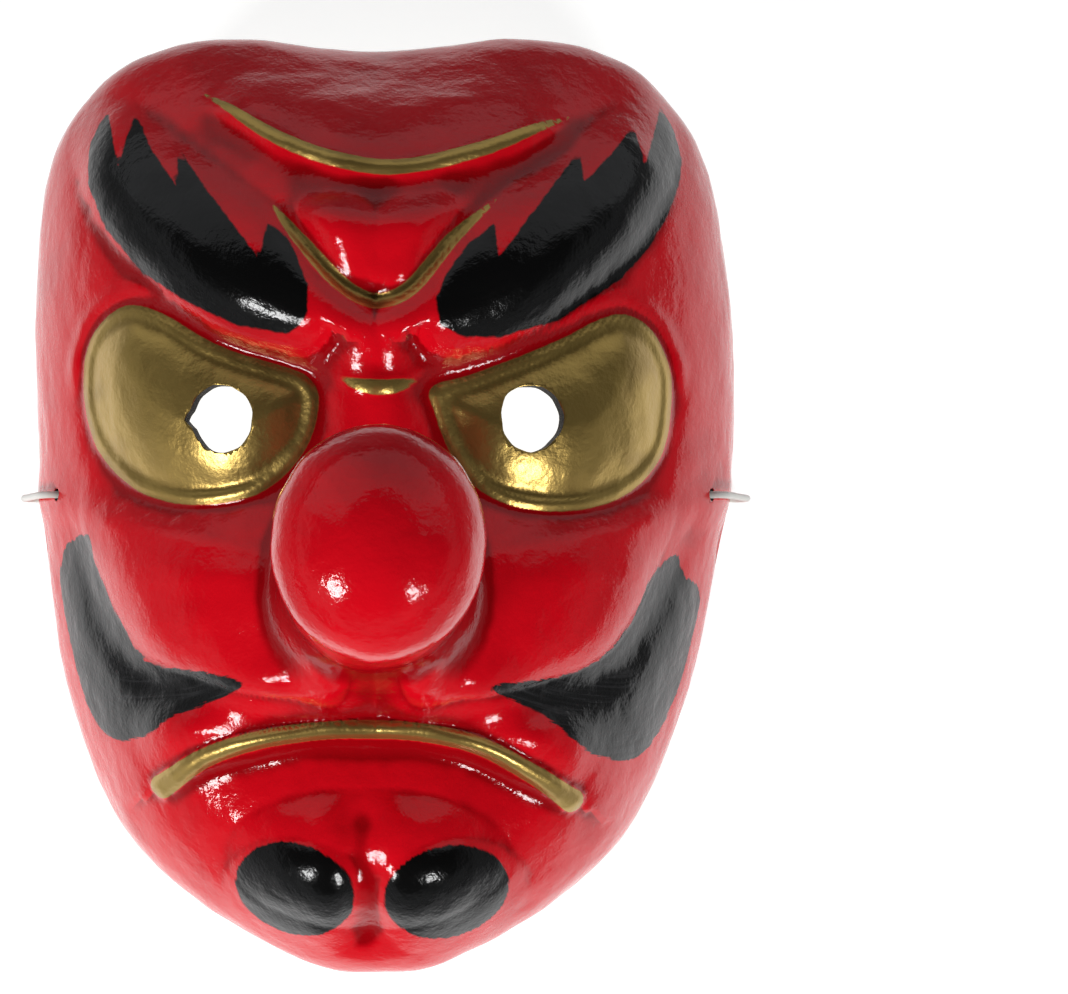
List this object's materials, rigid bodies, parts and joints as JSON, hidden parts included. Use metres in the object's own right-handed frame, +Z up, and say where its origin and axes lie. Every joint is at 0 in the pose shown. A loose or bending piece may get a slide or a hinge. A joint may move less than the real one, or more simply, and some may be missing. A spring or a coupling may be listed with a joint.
{
  "type": "tengu mask",
  "caption": "Lacquered paper face mask with a long hollow nose, round eye holes, bulging brows and a downturned mouth, worn with an elastic behind the head; lies on its rim",
  "frame": {"origin": "middle of the mask's outline, on the ground that the rim lies on", "axes": "+Z up, out of the face along the nose; +Y from chin to crown; +X to the right of a viewer who faces the mask"},
  "size_m": [0.2038, 0.2398, 0.185],
  "materials": {
    "lacquered_paper": "moulded paper under glossy red lacquer, with black and gold painted areas and bare paper inside",
    "elastic": "white braided elastic cord"
  },
  "bodies": {
    "root": {"mask_shell": "lacquered_paper", "elastic_cord": "elastic", "elastic_knot_left": "elastic", "elastic_knot_right": "elastic"}
  },
  "joints": []
}
